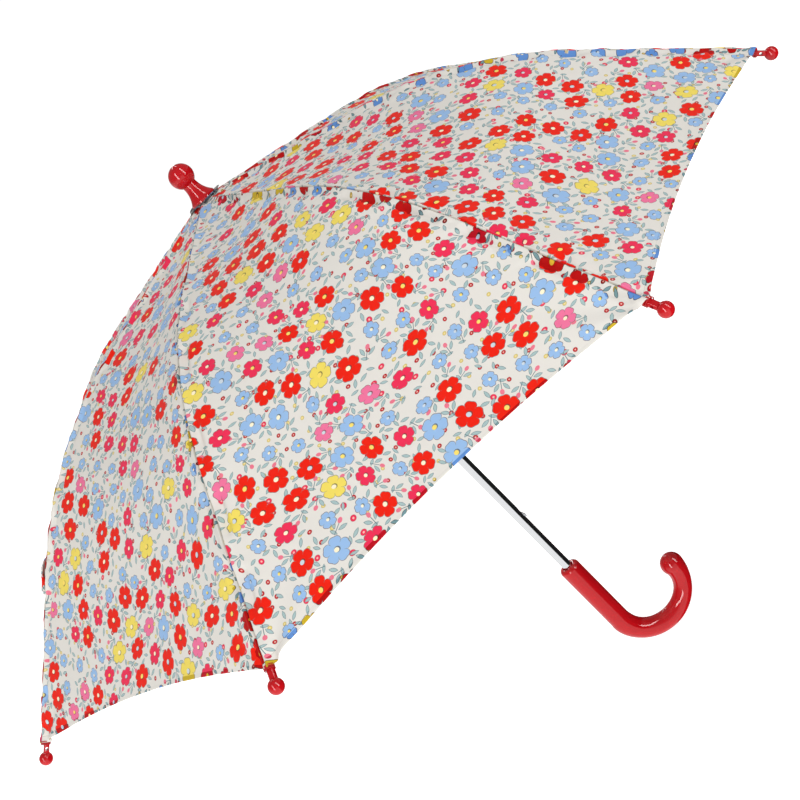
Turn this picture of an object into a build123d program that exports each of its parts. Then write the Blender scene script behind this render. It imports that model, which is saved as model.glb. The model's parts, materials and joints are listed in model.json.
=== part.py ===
from build123d import *
import os
from math import atan, atan2, asin, cos, degrees, hypot, radians, sin, sqrt, tan

os.makedirs("parts", exist_ok=True)

# Children's stick umbrella, open. +Z runs up the shaft towards the ferrule, and the origin is on
# the shaft's axis, level with the lowest point of the handle's crook, which bends towards +X.
# Millimetres and degrees.

# Canopy. A panel's seam comes down a crown slope, round a bend and down a hem slope.
rib_count = 8
tip_radius = 350.0
tip_height = 330.0
apex_height = 505.0
crown_slope = 12.0
hem_slope = 41.0
bend_radius = 300.0
panel_thickness = 0.6
panel_gap = 0.3
panel_hole_radius = 5.5
hem_depth = 12.0
corner_setback = 9.0

# Ribs and stretchers
rib_drop = 3.4
rib_height = 2.2
rib_width = 2.6
rib_web = 0.6
tongue_width = 2.0
tongue_length = 9.0
eye_radius = 1.7
hinge_radius = 7.8
wire_radius = 0.6
eye_hole_radius = 0.75
joint_bend = 7.0
rivet_radius = 0.6
rivet_clearance = 0.06
fork_gap = 2.9
fork_width = 4.1
closed_tip_radius = 18.0

# Rib tips
ball_radius = 4.43
neck_width = 4.6
neck_height = 3.4
neck_length = 14.0
socket_depth = 5.0
eyelet_radius = 1.1

# Shaft, handle and ferrule
shaft_radius = 4.0
shaft_wall = 0.6
shaft_top = 515.0
shaft_bottom = 50.0
press_gap = 0.02
grip_radius = 8.6
grip_top = 104.0
hook_radius = 30.5
hook_bottom_radius = 8.1
hook_thin_radius = 7.5
hook_end_radius = 9.4
ferrule_ball_radius = 9.15
ferrule_ball_height = 525.5
ferrule_neck_radius = 5.35
skirt_radius = 10.0

# Notch, runner and catches
notch_radius = 9.6
slot_width = 2.4
slot_floor_radius = 5.6
runner_clearance = 0.06
runner_radius = 7.0
runner_length = 43.0
catch_drop = 31.0
nose_radius = 5.4
nose_width = 2.2
catch_leg = 30.0

# Rosettes and strap
outer_rosette_radius = 15.5
inner_rosette_radius = 12.0
rosette_thickness = 0.4
strap_length = 88.0
strap_width = 18.0
strap_thickness = 1.0
strap_station = 288.0
strap_panel = 4

# Derived angles
panel_angle = 360 / rib_count
half_panel = panel_angle / 2
fold_in = cos(radians(half_panel))


class CanopyLine:
    """A canopy line in the plane through the shaft: crown slope, round bend, hem slope.

    A length runs from the apex along the cloth, and a drop is how far below the cloth's top a point lies.
    """

    def __init__(self, crown, hem, corner_x, corner_z, tangent):
        self.crown = radians(crown)
        self.hem = radians(hem)
        self.bend = tangent / tan((self.hem - self.crown) / 2)
        self.crown_length = hypot(corner_x, apex_height - corner_z) - tangent
        self.bend_length = self.bend * (self.hem - self.crown)
        self.corner = (corner_x, corner_z)
        start = self.slope_point(self.crown_length, 0)
        self.centre = (
            start[0] - self.bend * sin(self.crown),
            start[1] - self.bend * cos(self.crown),
        )

    def slope_point(self, length, drop):
        x = length * cos(self.crown) - drop * sin(self.crown)
        z = apex_height - length * sin(self.crown) - drop * cos(self.crown)
        return (x, z)

    def point(self, length, drop=0.0):
        if length <= self.crown_length:
            return self.slope_point(length, drop)
        turned = min((length - self.crown_length) / self.bend, self.hem - self.crown)
        angle = self.crown + turned
        beyond = max(length - self.crown_length - self.bend_length, 0)
        radius = self.bend - drop
        x = self.centre[0] + radius * sin(angle) + beyond * cos(angle)
        z = self.centre[1] + radius * cos(angle) - beyond * sin(angle)
        return (x, z)

    def length_at_height(self, z):
        end = self.crown_length + self.bend_length
        return end + (self.point(end)[1] - z) / sin(self.hem)

    def outline(self, start, end, top, bottom):
        """Lines of the closed strip between two lengths and two drops, for a BuildLine."""
        bend_start = self.crown_length
        bend_end = self.crown_length + self.bend_length
        middle = (bend_start + bend_end) / 2
        for drop in (top, bottom):
            Line(self.point(start, drop), self.point(bend_start, drop))
            ThreePointArc(
                self.point(bend_start, drop),
                self.point(middle, drop),
                self.point(bend_end, drop),
            )
            Line(self.point(bend_end, drop), self.point(end, drop))
        Line(self.point(start, top), self.point(start, bottom))
        Line(self.point(end, top), self.point(end, bottom))


# The seam line over a rib ends rib_drop above the tip's ball.
seam_end_x = tip_radius + rib_drop * sin(radians(hem_slope))
seam_end_z = tip_height + rib_drop * cos(radians(hem_slope))
tan_crown = tan(radians(crown_slope))
tan_hem = tan(radians(hem_slope))
corner_x = (seam_end_z - apex_height + tan_hem * seam_end_x) / (tan_hem - tan_crown)
corner_z = apex_height - tan_crown * corner_x
seam_tangent = bend_radius * tan(radians(hem_slope - crown_slope) / 2)
seam = CanopyLine(crown_slope, hem_slope, corner_x, corner_z, seam_tangent)
seam_length = seam.length_at_height(seam_end_z)

# A panel is straight from rib to rib, so its middle line is the seam line drawn in towards the shaft.
middle_crown = degrees(atan(tan_crown / fold_in))
middle_hem = degrees(atan(tan_hem / fold_in))
middle_tangent = seam_tangent / 2 * (
    hypot(fold_in * cos(seam.crown), sin(seam.crown))
    + hypot(fold_in * cos(seam.hem), sin(seam.hem))
)
middle = CanopyLine(middle_crown, middle_hem, corner_x * fold_in, corner_z, middle_tangent)
corner_height = seam.point(seam_length - corner_setback)[1]
middle_corner_length = middle.length_at_height(corner_height)

# Hinge at the notch, rib joint and tip, in a rib's own plane. The stretcher is as long as the rib
# is from hinge to joint, so the runner keeps the hinge's radius as it slides.
hinge_length = (hinge_radius + rib_drop * sin(seam.crown)) / cos(seam.crown)
hinge = seam.point(hinge_length, rib_drop)
joint_length = seam.crown_length + seam.bend * radians(joint_bend)
joint = seam.point(joint_length, rib_drop)
tip = (tip_radius, tip_height)
stretcher_length = hypot(joint[0] - hinge[0], hinge[1] - joint[1])
tip_reach = hypot(tip[0] - hinge[0], hinge[1] - tip[1])
open_joint_angle = degrees(atan2(joint[0] - hinge[0], hinge[1] - joint[1]))
open_tip_angle = degrees(atan2(tip[0] - hinge[0], hinge[1] - tip[1]))
fold_angle = open_tip_angle - degrees(asin((closed_tip_radius - hinge_radius) / tip_reach))
closed_joint_angle = open_joint_angle - fold_angle
runner_open = hinge[1] - 2 * stretcher_length * cos(radians(open_joint_angle))
runner_closed = hinge[1] - 2 * stretcher_length * cos(radians(closed_joint_angle))
top_catch_height = runner_open - catch_drop
bottom_catch_height = runner_closed - catch_drop
hook_height = hook_radius + hook_bottom_radius


def export(shape, label):
    shape.label = label
    export_step(shape, f"parts/{label}.step")


def rib_angle(number):
    return half_panel + panel_angle * (number - 1)


# Shaft: a tube with a slot for each catch
with BuildPart() as shaft:
    with BuildSketch(Plane.XY.offset(shaft_bottom)):
        Circle(shaft_radius)
        Circle(shaft_radius - shaft_wall, mode=Mode.SUBTRACT)
    extrude(amount=shaft_top - shaft_bottom)
    for height in (top_catch_height, bottom_catch_height):
        with BuildSketch(Plane.YZ):
            with Locations((0, height)):
                SlotOverall(11, nose_width + 0.6, rotation=90)
        extrude(amount=2 * shaft_radius, mode=Mode.SUBTRACT)
export(shaft.part, "shaft")

# Handle: straight grip with a rounded lip, then a crook that thins and ends in a swollen knob
hook_sections = [
    (0, grip_radius),
    (35, grip_radius - 0.1),
    (70, hook_bottom_radius + 0.1),
    (95, hook_bottom_radius - 0.1),
    (125, hook_thin_radius + 0.1),
    (150, hook_thin_radius),
    (170, hook_thin_radius + 0.7),
    (186, hook_end_radius),
]
end_angle = radians(hook_sections[-1][0])
hook_end = (
    hook_radius - hook_radius * cos(end_angle),
    0,
    hook_height - hook_radius * sin(end_angle),
)
with BuildPart() as handle:
    for turn, radius in hook_sections:
        angle = radians(turn)
        centre = (hook_radius * (1 - cos(angle)), 0, hook_height - hook_radius * sin(angle))
        with BuildSketch(Plane(origin=centre, x_dir=(0, 1, 0), z_dir=(sin(angle), 0, -cos(angle)))):
            Circle(radius)
    loft()
    with BuildSketch(Plane.XY.offset(hook_height)):
        Circle(grip_radius)
    extrude(amount=grip_top - hook_height)
    fillet(handle.faces().sort_by(Axis.Z)[-1].edges(), 3.2)
    with Locations(hook_end):
        Sphere(hook_end_radius)
    with BuildSketch(Plane.XY.offset(shaft_bottom - 1)):
        Circle(shaft_radius + press_gap)
    extrude(amount=grip_top, mode=Mode.SUBTRACT)
    with BuildSketch(Plane.XY.offset(grip_top - 2.6)):
        Circle(shaft_radius + 0.9)
    extrude(amount=5, mode=Mode.SUBTRACT)
export(handle.part, "handle")

# Ferrule: flared skirt, neck and ball, with a blind hole for the shaft
seat_gap = 0.85
skirt_z = apex_height - skirt_radius * tan_crown + seat_gap
bore_z = apex_height - shaft_radius * tan_crown + seat_gap
neck_half = sqrt(ferrule_ball_radius**2 - ferrule_neck_radius**2)
ball_bottom = ferrule_ball_height - neck_half
ball_top = ferrule_ball_height + ferrule_ball_radius
with BuildPart() as ferrule:
    with BuildSketch(Plane.XZ):
        with BuildLine():
            Line((shaft_radius + press_gap, bore_z), (skirt_radius, skirt_z))
            Line((skirt_radius, skirt_z), (skirt_radius, skirt_z + 1.4))
            ThreePointArc(
                (skirt_radius, skirt_z + 1.4),
                (skirt_radius - 3.3, skirt_z + 6.6),
                (ferrule_neck_radius, ball_bottom - 0.6),
            )
            Line((ferrule_neck_radius, ball_bottom - 0.6), (ferrule_neck_radius, ball_bottom))
            ThreePointArc(
                (ferrule_neck_radius, ball_bottom),
                (ferrule_ball_radius, ferrule_ball_height),
                (0, ball_top),
            )
            Line((0, ball_top), (0, shaft_top + 0.2))
            Line((0, shaft_top + 0.2), (shaft_radius + press_gap, shaft_top + 0.2))
            Line((shaft_radius + press_gap, shaft_top + 0.2), (shaft_radius + press_gap, bore_z))
        make_face()
    revolve(axis=Axis.Z)
export(ferrule.part, "ferrule")


def make_rosette(radius, slope, drop):
    """Shallow cone of cloth, its top a given drop below the apex."""
    inner = shaft_radius + 0.3
    with BuildPart() as rosette:
        with BuildSketch(Plane.XZ):
            with BuildLine():
                Polyline(
                    (inner, apex_height - inner * slope - drop),
                    (radius, apex_height - radius * slope - drop),
                    (radius, apex_height - radius * slope - drop - rosette_thickness),
                    (inner, apex_height - inner * slope - drop - rosette_thickness),
                    close=True,
                )
            make_face()
        revolve(axis=Axis.Z)
    return rosette.part


tan_middle = tan(middle.crown)
export(make_rosette(outer_rosette_radius, tan_crown, -0.65), "outer_rosette")
export(make_rosette(inner_rosette_radius, tan_middle, 0.85), "inner_rosette")


def make_seat_cutter(height, floor):
    """What is cut from a collar for the eyes' slots, open above the floor, and their wire's groove."""
    with BuildPart() as cutter:
        with BuildSketch(Plane.XY.offset(floor)):
            with PolarLocations(slot_floor_radius + 10, rib_count, start_angle=half_panel):
                Rectangle(20, slot_width)
        extrude(amount=12)
        with BuildSketch(Plane.XY.offset(height - wire_radius - 0.05)):
            Circle(2 * hinge_radius)
            Circle(hinge_radius - wire_radius - 0.05, mode=Mode.SUBTRACT)
        extrude(amount=2 * wire_radius + 0.1)
    return cutter.part


def make_wire(height):
    with BuildPart() as wire:
        with BuildSketch(Plane.XZ):
            with Locations((hinge_radius, height)):
                Circle(wire_radius)
        revolve(axis=Axis.Z)
    return wire.part


# Top notch: a collar whose top follows the canopy, slotted for the rib eyes
notch_bottom = hinge[1] - 3.6
notch_drop = 1.4
notch_cutter = make_seat_cutter(hinge[1], notch_bottom - 1)
with BuildPart() as top_notch:
    with BuildSketch(Plane.XZ):
        with BuildLine():
            inner = shaft_radius + press_gap
            Polyline(
                (inner, notch_bottom - 4),
                (inner, apex_height - inner * tan_middle - notch_drop),
                (notch_radius, apex_height - notch_radius * tan_middle - notch_drop),
                (notch_radius, notch_bottom),
                (slot_floor_radius, notch_bottom),
                (slot_floor_radius, notch_bottom - 4),
                close=True,
            )
        make_face()
    revolve(axis=Axis.Z)
    add(notch_cutter, mode=Mode.SUBTRACT)
export(top_notch.part, "top_notch")
export(make_wire(hinge[1]), "top_wire")

# Runner: a sleeve with a slotted crown, a thumb flange, and a groove and window for the catches
crown_top = runner_open + 3.2
crown_bottom = runner_open - 4.4
runner_bottom = crown_top - runner_length
flange_radius = 8.6
runner_cutter = make_seat_cutter(runner_open, runner_open - 2.2)
with BuildPart() as runner:
    with BuildSketch(Plane.XZ):
        with BuildLine():
            inner = shaft_radius + runner_clearance
            Polyline(
                (inner, runner_bottom),
                (inner, crown_top),
                (notch_radius, crown_top),
                (notch_radius, crown_bottom),
                (runner_radius, crown_bottom - 2.2),
                (runner_radius, runner_bottom + 5.2),
                (flange_radius, runner_bottom + 3.6),
                (flange_radius, runner_bottom),
                close=True,
            )
        make_face()
    revolve(axis=Axis.Z)
    fillet(runner.edges().filter_by(GeomType.CIRCLE).group_by(SortBy.RADIUS)[-1], 0.6)
    add(runner_cutter, mode=Mode.SUBTRACT)
    with BuildSketch(Plane.XY.offset(runner_bottom - 1)):
        with Locations((slot_floor_radius / 2, 0)):
            Rectangle(slot_floor_radius, nose_width + 0.6)
    extrude(amount=runner_length + 2, mode=Mode.SUBTRACT)
    with BuildSketch(Plane.YZ):
        with Locations((0, top_catch_height)):
            SlotOverall(12, nose_width + 0.8, rotation=90)
    extrude(amount=2 * runner_radius, mode=Mode.SUBTRACT)
export(runner.part, "runner")
export(make_wire(runner_open), "runner_wire")


def make_catch(height, upright):
    """Sprung nose on a leg inside the tube. Its flat side faces up when upright is 1, down when -1."""
    leg_outside = 2.4
    leg_inside = 1.8
    with BuildPart() as catch:
        with BuildSketch(Plane.XZ):
            with BuildLine():
                Polyline(
                    (leg_inside, height + 4.2 * upright),
                    (nose_radius - 0.4, height + 4.2 * upright),
                    (nose_radius, height + 3.6 * upright),
                    (nose_radius, height + 2.4 * upright),
                    (leg_outside, height - 4.6 * upright),
                    (leg_outside, height - catch_leg * upright),
                    (leg_inside, height - catch_leg * upright),
                    close=True,
                )
            make_face()
        extrude(amount=nose_width / 2, both=True)
    return catch.part


export(make_catch(top_catch_height, 1), "top_catch")
export(make_catch(bottom_catch_height, -1), "bottom_catch")

# Rib: channel section with a flat tongue and an eye at the top, bored for its rivet
rib_end = seam_length - corner_setback
channel_start = hinge_length + tongue_length
with BuildPart() as rib:
    with BuildSketch(Plane.XZ):
        with BuildLine():
            seam.outline(channel_start, rib_end, rib_drop - rib_height / 2, rib_drop + rib_height / 2)
        make_face()
    extrude(amount=rib_width / 2, both=True)
    with BuildSketch(Plane.XZ):
        with BuildLine():
            seam.outline(
                channel_start + 2,
                rib_end - socket_depth - 2,
                rib_drop - rib_height / 2 + rib_web,
                rib_drop + rib_height,
            )
        make_face()
    extrude(amount=rib_width / 2 - rib_web, both=True, mode=Mode.SUBTRACT)
    with BuildSketch(Plane.XZ):
        with BuildLine():
            Polyline(
                seam.point(hinge_length, rib_drop - rib_height / 2),
                seam.point(channel_start + 1, rib_drop - rib_height / 2),
                seam.point(channel_start + 1, rib_drop + rib_height / 2),
                seam.point(hinge_length, rib_drop + rib_height / 2),
                close=True,
            )
        make_face()
        with Locations(hinge):
            Circle(eye_radius)
    extrude(amount=tongue_width / 2, both=True)
    with BuildSketch(Plane.XZ):
        with Locations(hinge):
            Circle(eye_hole_radius)
        with Locations(joint):
            Circle(rivet_radius)
    extrude(amount=rib_width, both=True, mode=Mode.SUBTRACT)

# Rivet: a pin with a head on each side of the fork
with BuildPart() as rivet:
    with BuildSketch(Plane.XZ):
        with Locations(joint):
            Circle(rivet_radius)
    extrude(amount=fork_width / 2 + 0.6, both=True)
    for side in (-1, 1):
        with BuildSketch(Plane.XZ.offset(side * (fork_width / 2 + 0.1))):
            with Locations(joint):
                Circle(2 * rivet_radius)
        extrude(amount=side * 0.5)

# Rib tip: ball, flattened neck with an eyelet, and a socket for the rib's end
neck_plane = Plane(origin=(tip[0], 0, tip[1]), x_dir=(0, 1, 0), z_dir=(-cos(seam.hem), 0, sin(seam.hem)))
with BuildPart() as rib_tip:
    with BuildSketch(neck_plane):
        RectangleRounded(neck_width, neck_height, 1.5)
    extrude(amount=neck_length)
    with Locations((tip[0], 0, tip[1])):
        Sphere(ball_radius)
    with BuildSketch(neck_plane.offset(neck_length - socket_depth)):
        Rectangle(rib_width + 2 * press_gap, rib_height + 2 * press_gap)
    extrude(amount=socket_depth + 1, mode=Mode.SUBTRACT)
    with BuildSketch(Plane.XZ):
        with Locations(seam.point(seam_length - 6.6, rib_drop)):
            Circle(eyelet_radius)
    extrude(amount=neck_width, both=True, mode=Mode.SUBTRACT)

# Stretcher: channel bar, forked over the rib at one end and with an eye at the other
eye_end = (hinge_radius, runner_open)
stretcher_plane = Plane(
    origin=(joint[0], 0, joint[1]),
    x_dir=(eye_end[0] - joint[0], 0, eye_end[1] - joint[1]),
    z_dir=(0, -1, 0),
)
fork_length = 13.0
fork_slot = 9.5
bar_height = 2.0
bar_width = 2.4
with BuildPart() as stretcher:
    with BuildSketch(stretcher_plane):
        Circle(1.9)
        with Locations((fork_length / 2, 0)):
            Rectangle(fork_length, 2.6)
    extrude(amount=fork_width / 2, both=True)
    with BuildSketch(stretcher_plane):
        with Locations((fork_slot / 2 - 2, 0)):
            Rectangle(fork_slot + 4, 6)
    extrude(amount=fork_gap / 2, both=True, mode=Mode.SUBTRACT)
    with BuildSketch(stretcher_plane):
        with Locations(((fork_slot + 3 + stretcher_length - tongue_length) / 2, 0)):
            Rectangle(stretcher_length - tongue_length - fork_slot - 3, bar_height)
    extrude(amount=bar_width / 2, both=True)
    with BuildSketch(stretcher_plane):
        with Locations(((fork_length + stretcher_length - tongue_length) / 2, bar_height / 2)):
            Rectangle(stretcher_length - tongue_length - fork_length - 4, 2 * (bar_height - rib_web))
    extrude(amount=bar_width / 2 - 0.5, both=True, mode=Mode.SUBTRACT)
    with BuildSketch(stretcher_plane):
        with Locations((stretcher_length, 0)):
            Circle(eye_radius)
        with Locations((stretcher_length - tongue_length / 2 - 0.5, 0)):
            Rectangle(tongue_length + 1, bar_height)
    extrude(amount=tongue_width / 2, both=True)
    with BuildSketch(stretcher_plane):
        Circle(rivet_radius + rivet_clearance)
        with Locations((stretcher_length, 0)):
            Circle(eye_hole_radius)
    extrude(amount=fork_width, both=True, mode=Mode.SUBTRACT)

for number in range(1, rib_count + 1):
    turn = Rot(0, 0, rib_angle(number))
    export(turn * rib.part, f"rib_{number}")
    export(turn * rivet.part, f"rivet_{number}")
    export(turn * rib_tip.part, f"rib_tip_{number}")
    export(turn * stretcher.part, f"stretcher_{number}")

# Half panel: from the middle of a panel, in the XZ plane, to the rib at +Y
middle_end = middle.point(middle_corner_length - hem_depth)
panel_reach = seam_end_x * sin(radians(half_panel))
hem_radius = (panel_reach**2 + hem_depth**2) / (2 * hem_depth)
hem_direction = Vector(cos(middle.hem), 0, -sin(middle.hem))
hem_plane = Plane(
    origin=Vector(middle_end[0], 0, middle_end[1]) + hem_radius * hem_direction,
    x_dir=hem_direction,
    z_dir=(sin(middle.hem), 0, cos(middle.hem)),
)
rib_normal = (-sin(radians(half_panel)), cos(radians(half_panel)), 0)
rib_plane = Plane(origin=(0, 0, 0), z_dir=rib_normal).offset(-panel_gap / 2)
with BuildPart() as half:
    with BuildSketch(Plane.XZ.offset(-panel_gap / 2)):
        with BuildLine():
            middle.outline(0, middle_corner_length, 0, panel_thickness)
        make_face()
    extrude(amount=-1.1 * panel_reach)
    split(bisect_by=rib_plane, keep=Keep.BOTTOM)
    with BuildSketch(hem_plane):
        Circle(hem_radius)
    extrude(amount=20, both=True, mode=Mode.SUBTRACT)
    with BuildSketch(Plane.XY.offset(apex_height - 20)):
        Circle(panel_hole_radius)
    extrude(amount=40, mode=Mode.SUBTRACT)

mirrored_half = mirror(half.part, about=Plane.XZ)
for number in range(1, rib_count + 1):
    turn = Rot(0, 0, panel_angle * number)
    export(turn * mirrored_half, f"panel_{number}_left")
    export(turn * half.part, f"panel_{number}_right")

# Closing strap: lies along the panel from its seam, a little above the cloth
strap_height = seam.point(strap_station)[1]
strap_middle = middle.point(middle.length_at_height(strap_height), -strap_thickness - 0.4)
strap_seam_y = strap_middle[0] * tan(radians(half_panel))
strap_plane = Plane(
    origin=(strap_middle[0], strap_seam_y - strap_length / 2 - 4, strap_middle[1]),
    x_dir=(0, 1, 0),
    z_dir=(sin(middle.hem), 0, cos(middle.hem)),
)
with BuildPart() as closing_strap:
    with BuildSketch(strap_plane):
        RectangleRounded(strap_length, strap_width, 4)
    extrude(amount=strap_thickness)
export(Rot(0, 0, panel_angle * strap_panel) * closing_strap.part, "closing_strap")

print("hinge", hinge, "joint", joint, "stretcher", round(stretcher_length, 3))
print("fold", round(fold_angle, 4), "runner", round(runner_open, 3), round(runner_closed, 3))
print("catches", round(top_catch_height, 3), round(bottom_catch_height, 3))
print("seam length", round(seam_length, 2), "ferrule top", round(ball_top, 2))
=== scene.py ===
import json
import math

import bpy
import numpy as np
from mathutils import Matrix, Vector


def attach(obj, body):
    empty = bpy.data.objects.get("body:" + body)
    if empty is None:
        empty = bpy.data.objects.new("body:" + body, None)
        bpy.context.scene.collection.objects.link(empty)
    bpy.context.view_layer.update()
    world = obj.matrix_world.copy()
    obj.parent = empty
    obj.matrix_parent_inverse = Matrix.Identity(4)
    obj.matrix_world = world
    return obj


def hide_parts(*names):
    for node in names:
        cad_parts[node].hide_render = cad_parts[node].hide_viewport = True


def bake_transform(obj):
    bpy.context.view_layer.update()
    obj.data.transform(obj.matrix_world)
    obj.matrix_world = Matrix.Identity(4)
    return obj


# A children's stick umbrella with a flower print. Metres and radians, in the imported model's frame:
# +Z runs up the shaft to the ferrule, and the handle's crook bends towards +X.
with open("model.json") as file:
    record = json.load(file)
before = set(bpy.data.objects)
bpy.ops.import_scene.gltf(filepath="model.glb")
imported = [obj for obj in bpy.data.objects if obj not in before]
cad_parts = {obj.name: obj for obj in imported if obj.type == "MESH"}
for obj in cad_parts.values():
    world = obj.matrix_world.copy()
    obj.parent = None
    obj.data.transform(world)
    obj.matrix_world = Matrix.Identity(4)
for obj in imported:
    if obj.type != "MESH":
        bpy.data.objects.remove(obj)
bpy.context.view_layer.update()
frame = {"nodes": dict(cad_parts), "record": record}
nodes = frame["nodes"]

# Canopy, as the CAD makes it: a seam runs from the apex down a crown slope, a bend and a hem slope
RIBS = 8
HALF_ANGLE = math.pi / RIBS
APEX = 0.505
TIP_RADIUS, TIP_HEIGHT = 0.350, 0.330
# The rib's line lies this far under the cloth
RIB_DROP = 0.0034
CROWN_SLOPE, HEM_SLOPE = math.radians(12), math.radians(41)
BEND = 0.300
CLOTH_THICKNESS = 0.00025
# Down the seam from the apex to the crown's hole, and back from its end to the hem's corner
HOLE_LENGTH, CORNER_SETBACK = 0.0074, 0.0098
# How far the hem arcs up between two tips, and how much of it is turned under
HEM_DEPTH, HEM_ALLOWANCE = 0.0102, 0.006
# Where the stretchers' forks meet the ribs, as a length down the seam
FORK_LENGTH = 0.170

# Mesh density of a half panel
COLUMNS, ROWS = 44, 176

# Strap, sewn into the seam over rib 5 and lying on the right half of panel 4
STRAP_PANEL = 4
STRAP_STATION = 0.288
STRAP_LENGTH, STRAP_WIDTH, STRAP_THICKNESS = 0.088, 0.018, 0.0009
STRAP_START = 0.002
STRAP_CLEARANCE, STRAP_HUMP, STRAP_WAVE = 0.0012, 0.0022, 0.0005
STUD_FROM_END, STUD_LIFT = 0.010, 0.0018

# Relief of the canopy, in metres: depths and heights, and how far each reaches from the seam
SAG, HEM_SAG = 0.0050, 0.0012
RIDGE, RIDGE_REACH = 0.0011, 0.0024
STITCH_GROOVE, STITCH_REACH = 0.0016, 0.0007
TUCK_DEPTH, TUCK_AWAY, TUCK_REACH = 0.0026, 0.0042, 0.0027
FORK_REACH, FORK_CALM = 0.010, 0.75
PUCKER, PUCKER_REACH = 0.0013, 0.009
CORNER_FOLD, CORNER_REACH, CORNER_FOLDS = 0.0016, 0.028, 9
SLOW_WAVE = 0.0006
MIDDLE_DIP = 0.0003

random = np.random.default_rng(7)


# ---------------------------------------------------------------- canopy line


class SeamLine:
    """The canopy's line over a rib: where a length along the cloth lies, and its slope there."""

    def __init__(self):
        end_x = TIP_RADIUS + RIB_DROP * math.sin(HEM_SLOPE)
        end_z = TIP_HEIGHT + RIB_DROP * math.cos(HEM_SLOPE)
        tan_crown, tan_hem = math.tan(CROWN_SLOPE), math.tan(HEM_SLOPE)
        corner_x = (end_z - APEX + tan_hem * end_x) / (tan_hem - tan_crown)
        tangent = BEND * math.tan((HEM_SLOPE - CROWN_SLOPE) / 2)
        self.straight = corner_x / math.cos(CROWN_SLOPE) - tangent
        self.bent = BEND * (HEM_SLOPE - CROWN_SLOPE)
        start_x = self.straight * math.cos(CROWN_SLOPE)
        start_z = APEX - self.straight * math.sin(CROWN_SLOPE)
        self.centre_x = start_x - BEND * math.sin(CROWN_SLOPE)
        self.centre_z = start_z - BEND * math.cos(CROWN_SLOPE)
        bend_end_z = self.centre_z + BEND * math.cos(HEM_SLOPE)
        self.length = self.straight + self.bent + (bend_end_z - end_z) / math.sin(HEM_SLOPE)

    def slope(self, length):
        return CROWN_SLOPE + np.clip((length - self.straight) / BEND, 0, HEM_SLOPE - CROWN_SLOPE)

    def point(self, length):
        """(distance from the shaft's axis, height) of arrays of lengths."""
        slope = self.slope(length)
        before = np.minimum(length - self.straight, 0)
        beyond = np.maximum(length - self.straight - self.bent, 0)
        x = self.centre_x + BEND * np.sin(slope) + (before + beyond) * np.cos(slope)
        z = self.centre_z + BEND * np.cos(slope) - (before + beyond) * np.sin(slope)
        return x, z


seam = SeamLine()


def rib_azimuth(number):
    return HALF_ANGLE + 2 * HALF_ANGLE * (number - 1)


class HalfPanel:
    """Places points of half a panel, from its rib, share 0, to the panel's middle, share 1."""

    def __init__(self, panel, side):
        self.panel, self.side = panel, side
        self.rib = panel if side == "left" else panel % RIBS + 1
        self.sign = -1 if side == "left" else 1
        self.middle = 2 * HALF_ANGLE * panel
        self.rib_side = self.middle + self.sign * HALF_ANGLE

    def place(self, share, length, lift):
        """Points at a share across and a length down the seam, lifted off the cloth's line."""
        radius, height = seam.point(length)
        rib_x, rib_y = math.cos(self.rib_side), math.sin(self.rib_side)
        middle_x, middle_y = math.cos(self.middle), math.sin(self.middle)
        inner = radius * math.cos(HALF_ANGLE)
        x = radius * rib_x * (1 - share) + inner * middle_x * share
        y = radius * rib_y * (1 - share) + inner * middle_y * share
        slope = np.arctan(np.tan(seam.slope(length)) / math.cos(HALF_ANGLE))
        # Lift points straight out over the rib, and square to the panel from a fifth across
        turn = np.clip(share / 0.2, 0, 1)
        azimuth = self.rib_side + (self.middle - self.rib_side) * turn * turn * (3 - 2 * turn)
        x = x + lift * np.sin(slope) * np.cos(azimuth)
        y = y + lift * np.sin(slope) * np.sin(azimuth)
        return np.stack([x, y, height + lift * np.cos(slope)], axis=-1)


def half_width(length):
    """From a rib to the panel's middle, at a length down the seam."""
    return seam.point(length)[0] * math.sin(HALF_ANGLE)


def edge_length(share):
    """How far down the seam line the hem lies: it arcs up between two tips."""
    return seam.length - CORNER_SETBACK - HEM_DEPTH * (1 - (1 - share) ** 2)


# ---------------------------------------------------------------- cloth relief


def random_waves(count, shortest, longest, weakest):
    """Wave lengths, phases and strengths of a few waves that add up to something irregular."""
    lengths = random.uniform(shortest, longest, count)
    phases = random.uniform(0, 2 * math.pi, count)
    return lengths, phases, random.uniform(weakest, 1, count)


def random_tucks():
    """Wave lengths and phases of the tucks along a seam."""
    return list(zip(random.uniform(0.022, 0.055, 3), random.uniform(0, 2 * math.pi, 3)))


# The order of these three fixes the random draws
seam_waves = {rib: random_waves(7, 0.006, 0.017, 0.4) for rib in range(1, RIBS + 1)}
seam_tucks = {rib: random_tucks() for rib in range(1, RIBS + 1)}
panel_waves = {panel: random_waves(4, 1.0, 2.6, 0.5) for panel in range(1, RIBS + 1)}


def bell(distance, reach):
    """1 at no distance, and falling away smoothly over the reach."""
    return np.exp(-((distance / reach) ** 2))


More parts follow.
